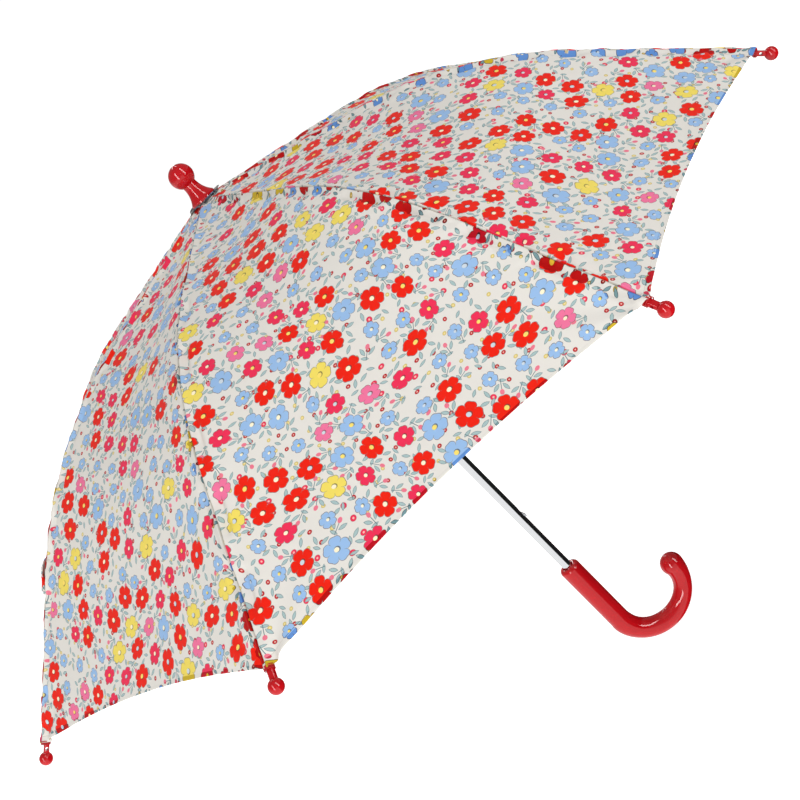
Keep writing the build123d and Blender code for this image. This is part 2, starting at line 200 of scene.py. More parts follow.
def relief(half, share, length):
    """How far the cloth stands off its straight line.

    It sags between the ribs, has a seam ridge with tucks and puckers beside it, folds at the
    corners, and slow waves over the panel.
    """
    width = half_width(length)
    away = share * width
    down = length / seam.length
    # Near the apex the panel is too narrow for any of this
    fade = np.clip(width / 0.02, 0, 1)
    hollow = (SAG * np.sin(math.pi * np.clip(down, 0, 1) ** 0.9) + HEM_SAG * down) * fade
    lift = -hollow * (1 - (1 - share) ** 2)
    ridge = RIDGE * bell(away, RIDGE_REACH) - STITCH_GROOVE * bell(away, STITCH_REACH)
    lift = lift + fade * ridge
    tucks = 0
    for wave, phase in seam_tucks[half.rib]:
        tucks = tucks + np.sin(2 * math.pi * length / wave + phase + 0.8 * half.sign)
    tuck = np.clip(0.5 + 0.55 * tucks, 0, 1.2)
    # The cloth rides over each stretcher's fork
    tuck = tuck * (1 - FORK_CALM * bell(length - FORK_LENGTH, FORK_REACH))
    lift = lift - TUCK_DEPTH * fade * tuck * bell(away - TUCK_AWAY, TUCK_REACH)

    waves, phases, strengths = seam_waves[half.rib]
    slant = 0.55 * half.sign
    pucker = 0
    for wave, phase, strength in zip(waves, phases, strengths):
        pucker = pucker + strength * np.sin(2 * math.pi * (length + slant * away) / wave + phase)
    pucker = pucker / len(waves)
    near_seam = np.exp(-away / PUCKER_REACH) * away / (away + 0.0012)
    lift = lift + PUCKER * fade * pucker * near_seam

    corner = np.hypot(seam.length - 0.004 - length, away)
    turn = np.arctan2(away, np.maximum(seam.length - length, 1e-4))
    creases = np.sin(CORNER_FOLDS * turn) * np.clip(away / 0.004, 0, 1)
    lift = lift + CORNER_FOLD * np.exp(-corner / CORNER_REACH) * creases

    across = half.sign * (1 - share)
    waves, phases, strengths = panel_waves[half.panel]
    slow = 0
    for wave, phase, strength in zip(waves, phases, strengths):
        slow = slow + strength * np.sin(2 * math.pi * (wave * down + 0.22 * across) + phase)
    calm = 1 - 0.75 * np.abs(2 * down - 1) ** 3
    return lift - MIDDLE_DIP * share**2 + SLOW_WAVE * slow * (1 - across**2) * calm * fade


def print_place(half, share, length):
    """A point's place on the printed cloth, in metres: each panel is cut from its own part."""
    across = half.sign * (1 - share) * half_width(length)
    along = length
    turn = 0.35 + 0.9 * half.panel
    u = across * math.cos(turn) - along * math.sin(turn) + 0.37 * half.panel
    v = across * math.sin(turn) + along * math.cos(turn) + 0.53 * half.panel
    return np.stack([u, v], axis=-1)


def seam_place(half, share, length):
    """Millimetres from the seam and along it.

    The seam's turned-in cloth lies under the right halves only, so the left ones count below 0.
    """
    away = 1000 * share * half_width(length)
    if half.side == "left":
        away = -away
    return np.stack([away, 1000 * length + 90.0 * half.rib], axis=-1)


# A place well clear of any seam, for cloth that has none
NO_SEAM = (-50.0, 0.0)
# The hem counts as this far from a seam: at the last row above it, and over its turned fold
HEM_EDGE, HEM_FOLD = 6.0, 1.0


# ---------------------------------------------------------------- meshes


def new_object(name, points, faces, uv=None, from_seam=None):
    """A smooth-shaded mesh, with the print's and the seam's maps where they are given."""
    mesh = bpy.data.meshes.new(name)
    mesh.from_pydata([tuple(p) for p in points], [], faces)
    mesh.polygons.foreach_set("use_smooth", [True] * len(mesh.polygons))
    for layer_name, values in (("cloth", uv), ("seam", from_seam)):
        if values is not None:
            layer = mesh.uv_layers.new(name=layer_name)
            corners = np.zeros(len(mesh.loops), np.int32)
            mesh.loops.foreach_get("vertex_index", corners)
            layer.data.foreach_set("uv", np.asarray(values, np.float32)[corners].ravel())
    mesh.validate()
    obj = bpy.data.objects.new(name, mesh)
    bpy.context.scene.collection.objects.link(obj)
    return obj


def grid_faces(columns, rows, flip=False, closed=False):
    """Quads between columns of points."""
    faces = []
    for i in range(columns if closed else columns - 1):
        j = (i + 1) % columns
        for r in range(rows - 1):
            face = (i * rows + r, i * rows + r + 1, j * rows + r + 1, j * rows + r)
            faces.append(face[::-1] if flip else face)
    return faces


def thicken(obj, thickness, rim=True):
    """Give a sheet its thickness, below the surface that is drawn."""
    solidify = obj.modifiers.new("thickness", "SOLIDIFY")
    solidify.thickness = thickness
    solidify.offset = -1
    solidify.use_rim = rim


def set_material(obj, material, slot=None):
    """Give a piece its material. The slot argument is not used."""
    obj.data.materials.clear()
    obj.data.materials.append(material)


def follow_fold(obj, share, points):
    """Sets the cloth's points, after laying them out in the cloth's flat pattern.

    There each point lies at its share with a smooth step undone, and the object's transform is baked
    in; then the points take their places.
    """
    even = 0.5 - np.sin(np.arcsin(1 - 2 * np.clip(share, 0, 1)) / 3)
    flat = np.stack([np.zeros_like(even), even, np.zeros_like(even)], axis=-1)
    obj.data.vertices.foreach_set("co", flat.astype(np.float32).ravel())
    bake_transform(obj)
    obj.data.vertices.foreach_set("co", points.astype(np.float32).ravel())
    obj.data.update()


def ring_tube(path, radius, sides=6):
    """Points and faces of a thread along a closed path of points."""
    path = np.asarray(path, float)
    count = len(path)
    along = np.roll(path, -1, 0) - np.roll(path, 1, 0)
    along /= np.linalg.norm(along, axis=1)[:, None]
    normal = np.cross(along[0], (0.31, 0.52, 0.79))
    points = []
    for place, way in zip(path, along):
        normal = normal - way * (normal @ way)
        normal /= np.linalg.norm(normal)
        other = np.cross(way, normal)
        for s in range(sides):
            a = 2 * math.pi * s / sides
            points.append(place + radius * (math.cos(a) * normal + math.sin(a) * other))
    faces = []
    for i in range(count):
        j = (i + 1) % count
        for s in range(sides):
            t = (s + 1) % sides
            faces.append((i * sides + s, i * sides + t, j * sides + t, j * sides + s))
    return points, faces


# ---------------------------------------------------------------- shader nodes


class Graph:
    """Short ways to add shader nodes. A value is a number, a tuple or another node's output."""

    def __init__(self, tree):
        self.tree = tree

    def node(self, kind, *values, out=0, **settings):
        made = self.tree.nodes.new(kind)
        for key, value in settings.items():
            setattr(made, key, value)
        for place, value in enumerate(values):
            self.feed(made.inputs[place], value)
        return made.outputs[out]

    def feed(self, socket, value):
        if isinstance(value, bpy.types.NodeSocket):
            self.tree.links.new(value, socket)
        elif value is not None:
            socket.default_value = value

    def math(self, operation, *values):
        return self.node("ShaderNodeMath", *values, operation=operation)

    def add(self, a, b):
        return self.math("ADD", a, b)

    def times(self, a, b):
        return self.math("MULTIPLY", a, b)

    def less(self, a, b):
        return self.math("LESS_THAN", a, b)

    def mix(self, factor, a, b):
        made = self.tree.nodes.new("ShaderNodeMix")
        made.data_type = "RGBA"
        self.feed(made.inputs["Factor"], factor)
        for socket, value in zip([s for s in made.inputs if s.type == "RGBA"], (a, b)):
            self.feed(socket, (*value, 1) if isinstance(value, tuple) else value)
        return next(s for s in made.outputs if s.type == "RGBA")

    def ramp(self, value, stops):
        """Steps of colour: (from, colour) in rising order."""
        made = self.tree.nodes.new("ShaderNodeValToRGB")
        made.color_ramp.interpolation = "CONSTANT"
        elements = made.color_ramp.elements
        while len(elements) < len(stops):
            elements.new(1)
        for element, (start, colour) in zip(elements, stops):
            element.position = start
            element.color = (*colour, 1)
        self.feed(made.inputs[0], value)
        return made.outputs[0]

    def split(self, vector):
        made = self.tree.nodes.new("ShaderNodeSeparateXYZ")
        self.feed(made.inputs[0], vector)
        return made.outputs[0], made.outputs[1], made.outputs[2]

    def join(self, x, y, z=0.0):
        return self.node("ShaderNodeCombineXYZ", x, y, z)


def srgb(red, green, blue):
    """Linear colour of an 8-bit screen colour."""
    return tuple(((c / 255 + 0.055) / 1.055) ** 2.4 for c in (red, green, blue))


def new_material(name, colour, roughness, **settings):
    """A material, and its shader with further sockets set by name."""
    material = bpy.data.materials.new(name)
    material.use_nodes = True
    shader = material.node_tree.nodes["Principled BSDF"]
    shader.inputs["Base Color"].default_value = (*colour, 1)
    shader.inputs["Roughness"].default_value = roughness
    for key, value in settings.items():
        shader.inputs[key.replace("_", " ")].default_value = value
    return material, shader


CREAM = srgb(226, 222, 214)
LEAF, LEAF_EDGE = srgb(166, 190, 190), srgb(104, 126, 130)
OUTLINE, SHADOW = srgb(122, 108, 104), srgb(70, 58, 52)
RED, BLUE, YELLOW = srgb(236, 30, 6), srgb(152, 188, 228), srgb(240, 218, 98)
CRIMSON, PINK, DARK_RED = srgb(236, 46, 84), srgb(238, 116, 156), srgb(190, 24, 34)
BUD, STRAW, DOT_CENTRE = srgb(233, 120, 140), srgb(225, 205, 110), srgb(250, 232, 214)
IVORY, GOLD, PALE_BLUE = srgb(252, 240, 205), srgb(250, 222, 110), srgb(205, 215, 222)
# Painted shade: what the print fades to in the ferrule's shadow
SHADE = (0.016, 0.017, 0.024)

# The print's lattice, in millimetres
STEP = 18.4
ROW_STEP = 0.945 * STEP


def lattice(g, place, shift, step, seed):
    """Local x and y in the cell of a staggered lattice, and the cell's four random numbers."""
    row_step = step * ROW_STEP / STEP
    x, y, _ = g.split(place)
    x, y = g.add(x, shift[0]), g.add(y, shift[1])
    row = g.math("FLOOR", g.times(y, 1 / row_step))
    odd = g.math("FLOORED_MODULO", row, 2.0)
    x = g.add(x, g.times(odd, step / 2))
    column = g.math("FLOOR", g.times(x, 1 / step))
    noise = g.tree.nodes.new("ShaderNodeTexWhiteNoise")
    noise.noise_dimensions = "3D"
    g.feed(noise.inputs["Vector"], g.join(column, row, float(seed)))
    x = g.math("MULTIPLY_ADD", g.add(column, 0.5), -step, x)
    y = g.math("MULTIPLY_ADD", g.add(row, 0.5), -row_step, y)
    return x, y, (*g.split(noise.outputs["Color"]), noise.outputs["Value"])


def grey(value):
    """A number that a colour ramp can hold."""
    return (value, value, value)


def strayed(g, x, y, numbers, room_x, room_y):
    """x and y about a motif that strays from its cell's middle, by as much as it has room."""
    x = g.math("SUBTRACT", x, g.times(g.math("MULTIPLY_ADD", numbers[0], 2.0, -1.0), room_x))
    y = g.math("SUBTRACT", y, g.times(g.math("MULTIPLY_ADD", numbers[1], 2.0, -1.0), room_y))
    return x, y


def turned(g, x, y, angle):
    """x and y in axes turned by an angle."""
    cosine, sine = g.math("COSINE", angle), g.math("SINE", angle)
    return (
        g.add(g.times(x, cosine), g.times(y, sine)),
        g.math("SUBTRACT", g.times(y, cosine), g.times(x, sine)),
    )


def leaf(g, x, y, place, angle, size):
    """Signed distance, roughly, to a pointed leaf."""
    x, y = g.add(x, -place[0]), g.add(y, -place[1])
    along = g.add(g.times(x, math.cos(angle)), g.times(y, math.sin(angle)))
    across = g.math("SUBTRACT", g.times(y, math.cos(angle)), g.times(x, math.sin(angle)))
    curve = g.math("MULTIPLY_ADD", g.times(along, along), -1 / size**2, 1.0)
    return g.math("SUBTRACT", g.math("ABSOLUTE", across), g.times(curve, 0.38 * size))


def sprigs(g, colour, place, shift, seed):
    """Leaves, and here and there a bud on its stem, between the flowers."""
    x, y, numbers = lattice(g, place, shift, STEP, seed)
    x, y = strayed(g, x, y, numbers, 1.3, 1.0)
    turn, pick = numbers[2:]
    x, y = turned(g, x, y, g.times(turn, 2 * math.pi))
    paired = g.less(pick, 0.6)
    mirrored = g.times(g.math("ABSOLUTE", y), paired)
    folded = g.add(mirrored, g.times(y, g.math("SUBTRACT", 1.0, paired)))
    first = leaf(g, x, folded, (0.6, 2.6), math.radians(38), 2.7)
    second = leaf(g, x, y, (-3.1, -0.9), math.radians(100), 2.4)
    distance = g.math("MINIMUM", first, second)
    colour = g.mix(g.less(distance, 0.0), colour, LEAF_EDGE)
    colour = g.mix(g.less(distance, -0.24), colour, LEAF)
    budded = g.less(pick, 0.38)
    stem = g.less(g.math("ABSOLUTE", y), 0.2)
    stem = g.times(stem, g.less(g.math("ABSOLUTE", g.add(x, 1.2)), 3.0))
    colour = g.mix(g.times(stem, budded), colour, LEAF_EDGE)
    bud_x = g.times(g.add(x, -3.3), 1 / 1.55)
    bud_y = g.times(y, 1 / 1.2)
    bud = g.less(g.add(g.times(bud_x, bud_x), g.times(bud_y, bud_y)), 1.0)
    return g.mix(g.times(bud, budded), colour, BUD)


def dots(g, colour, place, shift, seed):
    """Small red, yellow and pink dots with a light centre, and some cells left empty."""
    x, y, numbers = lattice(g, place, shift, STEP / 2, seed)
    x, y = strayed(g, x, y, numbers, 2.8, 2.5)
    pick = numbers[3]
    radius = g.math("SQRT", g.add(g.times(x, x), g.times(y, y)))
    tint = g.ramp(pick, [(0, DARK_RED), (0.36, STRAW), (0.74, CRIMSON)])
    # A ramp holds 0 to 1, so it gives half of each dot's radius
    size = g.ramp(pick, [(0, grey(0.66)), (0.36, grey(0.60)), (0.74, grey(0.86)), (0.86, grey(0))])
    size = g.times(g.split(size)[0], 2.0)
    colour = g.mix(g.less(radius, size), colour, g.mix(0.5, tint, OUTLINE))
    colour = g.mix(g.less(radius, g.times(size, 0.84)), colour, tint)
    return g.mix(g.less(radius, g.times(size, 0.34)), colour, g.mix(0.6, tint, DOT_CENTRE))


def flowers(g, colour, place, seed):
    """One flower for each lattice point, of a size, colour and turn of its own."""
    x, y, numbers = lattice(g, place, (0, 0), STEP, seed)
    turn, pick = numbers[2:]
    petal = g.ramp(
        pick,
        [(0, RED), (0.33, BLUE), (0.44, YELLOW), (0.50, CRIMSON), (0.67, PINK), (0.72, BLUE)],
    )
    # A ramp holds 0 to 1, so sizes are in centimetres there and in millimetres after
    size = g.split(g.ramp(pick, [(0, grey(0.71)), (0.50, grey(0.60)), (0.72, grey(0.44))]))[0]
    size = g.times(size, 10.0)
    room_x = g.math("SUBTRACT", STEP / 2 - 0.3, size)
    room_y = g.math("SUBTRACT", ROW_STEP / 2 - 0.3, size)
    x, y = strayed(g, x, y, numbers, room_x, room_y)
    radius = g.math("SQRT", g.add(g.times(x, x), g.times(y, y)))
    angle = g.add(g.math("ARCTAN2", y, x), g.times(turn, 2 * math.pi))
    lobe = g.math("ABSOLUTE", g.math("COSINE", g.times(angle, 2.5)))
    round_lobe = g.math("SQRT", lobe)
    tip = g.math("POWER", lobe, 9.0)
    shape = g.math("MULTIPLY_ADD", round_lobe, 0.38, 0.66)
    shape = g.math("MULTIPLY_ADD", tip, -0.075, shape)
    distance = g.math("SUBTRACT", radius, g.times(shape, size))
    colour = g.mix(g.less(distance, 0.32), colour, OUTLINE)
    inside = g.less(distance, 0.0)
    colour = g.mix(inside, colour, petal)
    slit = g.times(g.less(lobe, 0.085), g.less(g.times(size, 0.56), radius))
    shade = g.mix(0.45, petal, OUTLINE)
    colour = g.mix(g.times(slit, inside), colour, shade)
    low_x, low_y = g.add(x, -0.3), g.add(y, 0.3)
    shadow = g.math("SQRT", g.add(g.times(low_x, low_x), g.times(low_y, low_y)))
    colour = g.mix(g.less(shadow, g.times(size, 0.235)), colour, g.mix(0.75, petal, SHADOW))
    centre = g.ramp(turn, [(0, IVORY), (0.4, GOLD), (0.75, PALE_BLUE)])
    return g.mix(g.less(radius, g.times(size, 0.19)), colour, centre)


def seam_shade(g, colour):
    """Painted shade on the print over the seam's turned-in cloth, and a thin painted shadow line
    along the seam.

    Inks deepen more than the cream ground does: a gamma on the colour over the ground's.
    """
    away, length, _ = g.split(g.node("ShaderNodeUVMap", uv_map="seam"))
    wander = g.tree.nodes.new("ShaderNodeTexNoise")
    wander.noise_dimensions = "1D"
    g.feed(wander.inputs["W"], length)
    wander.inputs["Scale"].default_value = 0.12
    # The turned-in cloth ends about 3 to 9 millimetres from the seam
    edge = g.math("MULTIPLY_ADD", wander.outputs[0], 11.0, 0.4)
    # Painted shade: the print darkened over the strip where the turned-in cloth lies beneath
    under = g.node("ShaderNodeMapRange", away, g.add(edge, -0.35), edge, 1.0, 0.0)
    under = g.times(under, g.less(0.0, away))
    over_cream = tuple(1 / c for c in CREAM)
    ink = g.node("ShaderNodeVectorMath", colour, over_cream, operation="MULTIPLY")
    red, green, blue = g.split(ink)
    lowest = g.math("MINIMUM", g.math("MINIMUM", red, green), blue)
    depth = g.math("MINIMUM", g.math("MULTIPLY_ADD", lowest, 0.48, 0.52), 1.0)
    painted_shade_print = g.node("ShaderNodeGamma", ink, 1.75)
    ground = tuple(0.95 * c for c in CREAM)
    painted_shade_print = g.node("ShaderNodeVectorMath", painted_shade_print, ground, operation="MULTIPLY")
    painted_shade_print = g.node("ShaderNodeVectorMath", painted_shade_print, None, None, depth, operation="SCALE")
    colour = g.mix(under, colour, painted_shade_print)
    # Painted shadow: a thin dark line down the seam's groove
    line = g.node("ShaderNodeMapRange", g.math("ABSOLUTE", away), 0.25, 0.8, 0.62, 0.0)
    return g.mix(line, colour, g.node("ShaderNodeGamma", colour, 3.2))


def print_cloth(name, shaded=False):
    """Cream cloth with the flower print, a fine weave and a soft sheen, or a copy darkened with
    painted shade.
    """
    material, shader = new_material(
        name, CREAM, 0.66, Sheen_Weight=0.04, Specular_IOR_Level=0.18
    )
    g = Graph(material.node_tree)
    coordinates = g.node("ShaderNodeUVMap", uv_map="cloth")
    millimetres = g.node(
        "ShaderNodeVectorMath", coordinates, (1000, 1000, 1000), operation="MULTIPLY"
    )
    # The print wanders a little, so that its lattice doesn't show
    drift = g.tree.nodes.new("ShaderNodeTexNoise")
    drift.noise_dimensions = "2D"
    g.feed(drift.inputs["Vector"], millimetres)
    drift.inputs["Scale"].default_value = 0.018
    drift.inputs["Detail"].default_value = 0
    place = g.node(
        "ShaderNodeVectorMath",
        drift.outputs["Color"],
        (9, 9, 0),
        millimetres,
        operation="MULTIPLY_ADD",
    )
    colour = dots(g, CREAM, place, (3.0, 1.5), 5)
    colour = sprigs(g, colour, place, (STEP / 2, ROW_STEP / 3), 2)
    colour = sprigs(g, colour, place, (0, 2 * ROW_STEP / 3), 3)
    colour = flowers(g, colour, place, 1)
    if shaded:
        # Painted shade: the rosette under the ferrule fades towards SHADE, in patches
        patches = g.tree.nodes.new("ShaderNodeTexNoise")
        g.feed(patches.inputs["Vector"], millimetres)
        patches.inputs["Scale"].default_value = 0.35
        patchy = g.node("ShaderNodeMapRange", patches.outputs[0], 0.42, 0.58, 1.0, 0.62)
        colour = g.mix(patchy, colour, SHADE)
    else:
        colour = seam_shade(g, colour)
    g.feed(shader.inputs["Base Color"], colour)
    weave = g.tree.nodes.new("ShaderNodeTexNoise")
    g.feed(weave.inputs["Vector"], millimetres)
    weave.inputs["Scale"].default_value = 2.4
    bump = g.tree.nodes.new("ShaderNodeBump")
    bump.inputs["Strength"].default_value = 0.12
    bump.inputs["Distance"].default_value = 0.0001
    g.feed(bump.inputs["Height"], weave.outputs[0])
    g.feed(shader.inputs["Normal"], bump.outputs[0])
    return material


def speckled(name, colour, other, roughness, scale, **settings):
    """A plain finish with a faint cloudiness of its own."""
    material, shader = new_material(name, colour, roughness, **settings)
    g = Graph(material.node_tree)
    noise = g.tree.nodes.new("ShaderNodeTexNoise")
    g.feed(noise.inputs["Vector"], g.node("ShaderNodeTexCoord", out=3))
    noise.inputs["Scale"].default_value = scale
    g.feed(shader.inputs["Base Color"], g.mix(noise.outputs[0], colour, other))
    return material


# ---------------------------------------------------------------- materials

cloth = print_cloth("flower_print")
# A copy of the print darkened with painted shade, for the rosette in the ferrule's shadow
painted_shade_cloth = print_cloth("flower_print_shaded", shaded=True)
red_plastic = speckled(
    "red_plastic", (0.51, 0.004, 0.008), (0.54, 0.005, 0.010), 0.075, 60, Specular_IOR_Level=0.5
)
chrome = speckled("chrome", (0.80, 0.81, 0.83), (0.84, 0.85, 0.86), 0.09, 300, Metallic=1.0)
steel = speckled("plated_steel", (0.55, 0.56, 0.58), (0.66, 0.67, 0.69), 0.27, 240, Metallic=1.0)
grey_plastic = speckled("white_plastic", (0.72, 0.72, 0.71), (0.76, 0.76, 0.75), 0.38, 90)
thread = speckled("thread", srgb(228, 222, 210), srgb(205, 196, 182), 0.8, 900)
red_thread = speckled("red_thread", srgb(196, 26, 30), srgb(160, 16, 22), 0.7, 900)

finishes = {
    "red_plastic": red_plastic,
    "chrome_tube": chrome,
    "plated_steel": steel,
    "grey_plastic": grey_plastic,
    "print_cloth": cloth,
    "rosette_cloth": painted_shade_cloth,
}
for part in frame["record"]["subparts"]:
    for material_slot in nodes[part["node"]].material_slots:
        material_slot.material = finishes[part["material_slot"]]


# ---------------------------------------------------------------- canopy


def make_half_panel(panel, side):
    """Half a panel of the canopy, from its rib to the panel's middle, with a turned hem."""
    half = HalfPanel(panel, side)
    # Columns crowd towards the seam, where the relief is finest
    shares = np.linspace(0, 1, COLUMNS) ** 2.2
    downs = np.linspace(0, 1, ROWS)
    share, down = np.meshgrid(shares, downs, indexing="ij")
    edge = edge_length(share)
    length = HOLE_LENGTH + (edge - HOLE_LENGTH) * down
    lift = relief(half, share, length)
    # The hem turns under: a round fold, then a strip on the underside, as (outwards, lift)
    folds = [(0.00035, -0.00010), (0.00050, -0.00042), (0.00030, -0.00075)]
    folds += [(-HEM_ALLOWANCE * step, -0.00090) for step in (0.15, 0.4, 0.7, 1.0)]
    hem_share = np.repeat(shares[:, None], len(folds), 1)
    hem_out = np.array([out for out, _ in folds])[None, :]
    hem_length = edge_length(hem_share) + hem_out
    hem_drop = np.array([drop for _, drop in folds])[None, :]
    hem_lift = relief(half, hem_share, hem_length) + hem_drop
    share = np.concatenate([share, hem_share], 1)
    length = np.concatenate([length, hem_length], 1)
    lift = np.concatenate([lift, hem_lift], 1)
    points = half.place(share, length, lift).reshape(-1, 3)
    uv = print_place(half, share, length).reshape(-1, 2)
    faces = grid_faces(COLUMNS, share.shape[1], flip=side == "right")
    # Painted shade: the turned hem is darkened as the print over the seam's turned-in cloth is
    from_seam = seam_place(half, share, length)
    from_seam[:, ROWS - 2, 0] = HEM_EDGE
    from_seam[:, ROWS - 1 :, 0] = HEM_FOLD
    obj = new_object(f"cloth_{panel}_{side}", points, faces, uv, from_seam.reshape(-1, 2))
    thicken(obj, CLOTH_THICKNESS, rim=False)
    set_material(obj, cloth, "print_cloth")
    follow_fold(obj, share.ravel(), points)
    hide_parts(f"panel_{panel}_{side}")


for panel in range(1, RIBS + 1):
    for side in ("left", "right"):
        make_half_panel(panel, side)


# ---------------------------------------------------------------- rosettes


ROSETTE_HOLE = 0.0045
TOOTH_STEPS, TOOTH_DEPTH = 8, 0.0013
ROSETTE_THICKNESS = 0.0003


def make_rosette(name, node, outer, top, slope, teeth, wave, finish):
    """A pinked ring of cloth, frilled a little, under the ferrule or inside the crown."""
    around = teeth * TOOTH_STEPS
    rings = 10
    points, uv = [], []
    for i in range(around):
        angle = 2 * math.pi * i / around
        tooth = abs((i % TOOTH_STEPS) / (TOOTH_STEPS / 2) - 1)
        ragged = 1.6 * wave * (math.sin(4 * angle + 0.4) + 0.7 * math.sin(11 * angle))
        edge = outer - TOOTH_DEPTH * tooth - abs(ragged)
        for r in range(rings):
            t = r / (rings - 1)
            radius = ROSETTE_HOLE + (edge - ROSETTE_HOLE) * t
            frill = wave * t * t * (math.sin(5 * angle + 0.7) + 0.6 * math.sin(9 * angle + 2.0))
            x, y = radius * math.cos(angle), radius * math.sin(angle)
            points.append((x, y, top - slope * radius + frill))
            uv.append((x + 0.9, y + 0.4))
    faces = grid_faces(around, rings, closed=True)
    obj = new_object(name, points, faces, uv, [NO_SEAM] * len(points))
    thicken(obj, ROSETTE_THICKNESS)
    set_material(obj, *finish)
    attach(obj, "root")
    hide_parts(node)


make_rosette(
    "ferrule_rosette",
    "outer_rosette",
    outer=0.0155,
    top=APEX + 0.0009,
    slope=math.tan(CROWN_SLOPE),
    teeth=30,
    wave=0.0009,
    finish=(painted_shade_cloth, "rosette_cloth"),
)
make_rosette(
    "crown_rosette",
    "inner_rosette",
    outer=0.0090,
    top=APEX - 0.0011,
    slope=math.tan(CROWN_SLOPE) / math.cos(HALF_ANGLE),
    teeth=24,
    wave=0.0001,
    finish=(cloth, "print_cloth"),
)


# ---------------------------------------------------------------- closing strap


def make_strap():
    """A doubled strip sewn in at the seam, standing off the cloth there, with a round end."""
    half = HalfPanel(STRAP_PANEL, "right")
    width = float(half_width(STRAP_STATION))
    steps, sides = 60, 13
    share, length, lift, uv = [], [], [], []
    for i in range(steps):
        along = STRAP_LENGTH * i / (steps - 1)
        from_end = STRAP_LENGTH - along
        half_across = STRAP_WIDTH / 2
        if from_end < half_across:
            half_across = math.sqrt(max(half_across**2 - (half_across - from_end) ** 2, 1e-8))
        # It clears the cloth, humps up near the seam and waves a little
        rise = STRAP_CLEARANCE + STRAP_HUMP * math.exp(-((along - 0.012) / 0.016) ** 2)
        rise += STRAP_WAVE * math.sin(along / 0.011)
        for s in range(sides):
            across = half_across * (2 * s / (sides - 1) - 1)
            share.append((STRAP_START + along) / width)
            length.append(STRAP_STATION + across)
            lift.append(rise + 0.0003 * math.cos(math.pi * across / STRAP_WIDTH))
            uv.append((along + 0.2, across + 0.7))
    share, length, lift = np.array(share), np.array(length), np.array(lift)
    points = half.place(share, length, relief(half, share, length) + lift)
    faces = grid_faces(steps, sides, flip=True)
    obj = new_object("strap", points, faces, uv, [NO_SEAM] * len(points))
    thicken(obj, STRAP_THICKNESS)
    obj.modifiers["thickness"].offset = 0
    set_material(obj, cloth, "print_cloth")
    follow_fold(obj, share, points)
    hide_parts("closing_strap")


def make_stud():
    """The strap's press stud: a small domed cap near its free end."""
    half = HalfPanel(STRAP_PANEL, "right")
    width = float(half_width(STRAP_STATION))
    centre = (STRAP_START + STRAP_LENGTH - STUD_FROM_END) / width
    # Its outline from the rim to the middle, as (radius, height)
    rings = [
        (0.0052, 0.0),
        (0.0052, 0.0006),
        (0.0046, 0.0011),
        (0.0030, 0.0014),
        (0.0015, 0.0012),
        (0.0, 0.0012),
    ]
    around = 28
    share, length, lift = [], [], []
    for i in range(around):
        angle = 2 * math.pi * i / around
        for radius, rise in rings:
            share.append(centre + radius * math.cos(angle) / width)
            length.append(STRAP_STATION + radius * math.sin(angle))
            lift.append(rise + STUD_LIFT)
    share, length, lift = np.array(share), np.array(length), np.array(lift)
    base = relief(half, np.full_like(share, centre), np.full_like(length, STRAP_STATION))
    points = half.place(share, length, base + lift)
    faces = grid_faces(around, len(rings), flip=True, closed=True)
    obj = new_object("strap_stud", points, faces)
    set_material(obj, steel, "plated_steel")
    follow_fold(obj, np.full_like(share, centre), points)


make_strap()
make_stud()


# ---------------------------------------------------------------- stitching


def rib_point(number, length, drop, side):
    """A point beside a rib: how far down the seam, under the cloth and to one side it lies."""
    x, z = seam.point(np.array(length, float))
    slope = float(seam.slope(np.array(length, float)))
    radius = float(x) - drop * math.sin(slope)
    angle = rib_azimuth(number)
    return (
        radius * math.cos(angle) - side * math.sin(angle),
        radius * math.sin(angle) + side * math.cos(angle),
        float(z) - drop * math.cos(slope),
    )


def thread_loops(name, number, lengths, drop, half_height, reach, radius, finish):
    """Thread wound round a rib or a tip's neck and through the cloth.

    Each loop's middle lies a drop under the cloth, and it reaches as far to either side.
    """
    points, faces = [], []
    for length in lengths:
        lean = random.uniform(-0.0006, 0.0006)
        path = []
        for i in range(20):
            angle = 2 * math.pi * i / 20
            path.append(
                rib_point(
                    number,
                    length + lean * math.sin(angle),
                    drop + half_height * math.cos(angle),
                    reach * math.sin(angle),
                )
            )
        loop_points, loop_faces = ring_tube(path, radius)
        start = len(points)
        points += loop_points
        faces += [tuple(start + i for i in face) for face in loop_faces]
    obj = new_object(name, points, faces)
    set_material(obj, finish, "print_cloth")
    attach(obj, f"rib_{number}")


TIP_LOOP = {"drop": 0.0029, "half_height": 0.0029, "reach": 0.0029, "radius": 0.00028}
TIE_LOOP = {"drop": 0.0025, "half_height": 0.0024, "reach": 0.0019, "radius": 0.00025}
TIP_STITCH_START = seam.length - CORNER_SETBACK - 0.0012

for number in range(1, RIBS + 1):
    stitches = [TIP_STITCH_START + 0.0006 * step for step in range(4)]
    thread_loops(f"tip_stitch_{number}", number, stitches, finish=red_thread, **TIP_LOOP)
    for place, share_down in (("upper", 0.30), ("lower", 0.68)):
        tie = [seam.length * share_down + 0.0009 * step for step in range(3)]
        thread_loops(f"rib_tie_{place}_{number}", number, tie, finish=thread, **TIE_LOOP)


# ---------------------------------------------------------------- light, floor and camera


def make_area(name, place, target, size, power):
    """A soft rectangular light that shiny surfaces don't reflect."""
    light = bpy.data.lights.new(name, "AREA")
    light.shape = "RECTANGLE"
    light.size, light.size_y = size
    light.energy = power
    obj = bpy.data.objects.new(name, light)
    obj.location = place
    obj.rotation_euler = (Vector(target) - Vector(place)).to_track_quat("-Z", "Y").to_euler()
    obj.visible_glossy = False
    bpy.context.scene.collection.objects.link(obj)


make_area("front", (0.30, -1.8, 1.05), (0, 0, 0.35), (0.9, 0.9), 13.5)
make_area("top", (0.6, 0.2, 2.2), (0, 0, 0.35), (0.8, 0.8), 2)
make_area("back", (-0.2, 1.8, 0.9), (0, 0, 0.35), (0.9, 0.9), 7)
make_area("side", (-1.4, -0.8, 0.25), (0, 0, 0.2), (0.5, 0.7), 4)

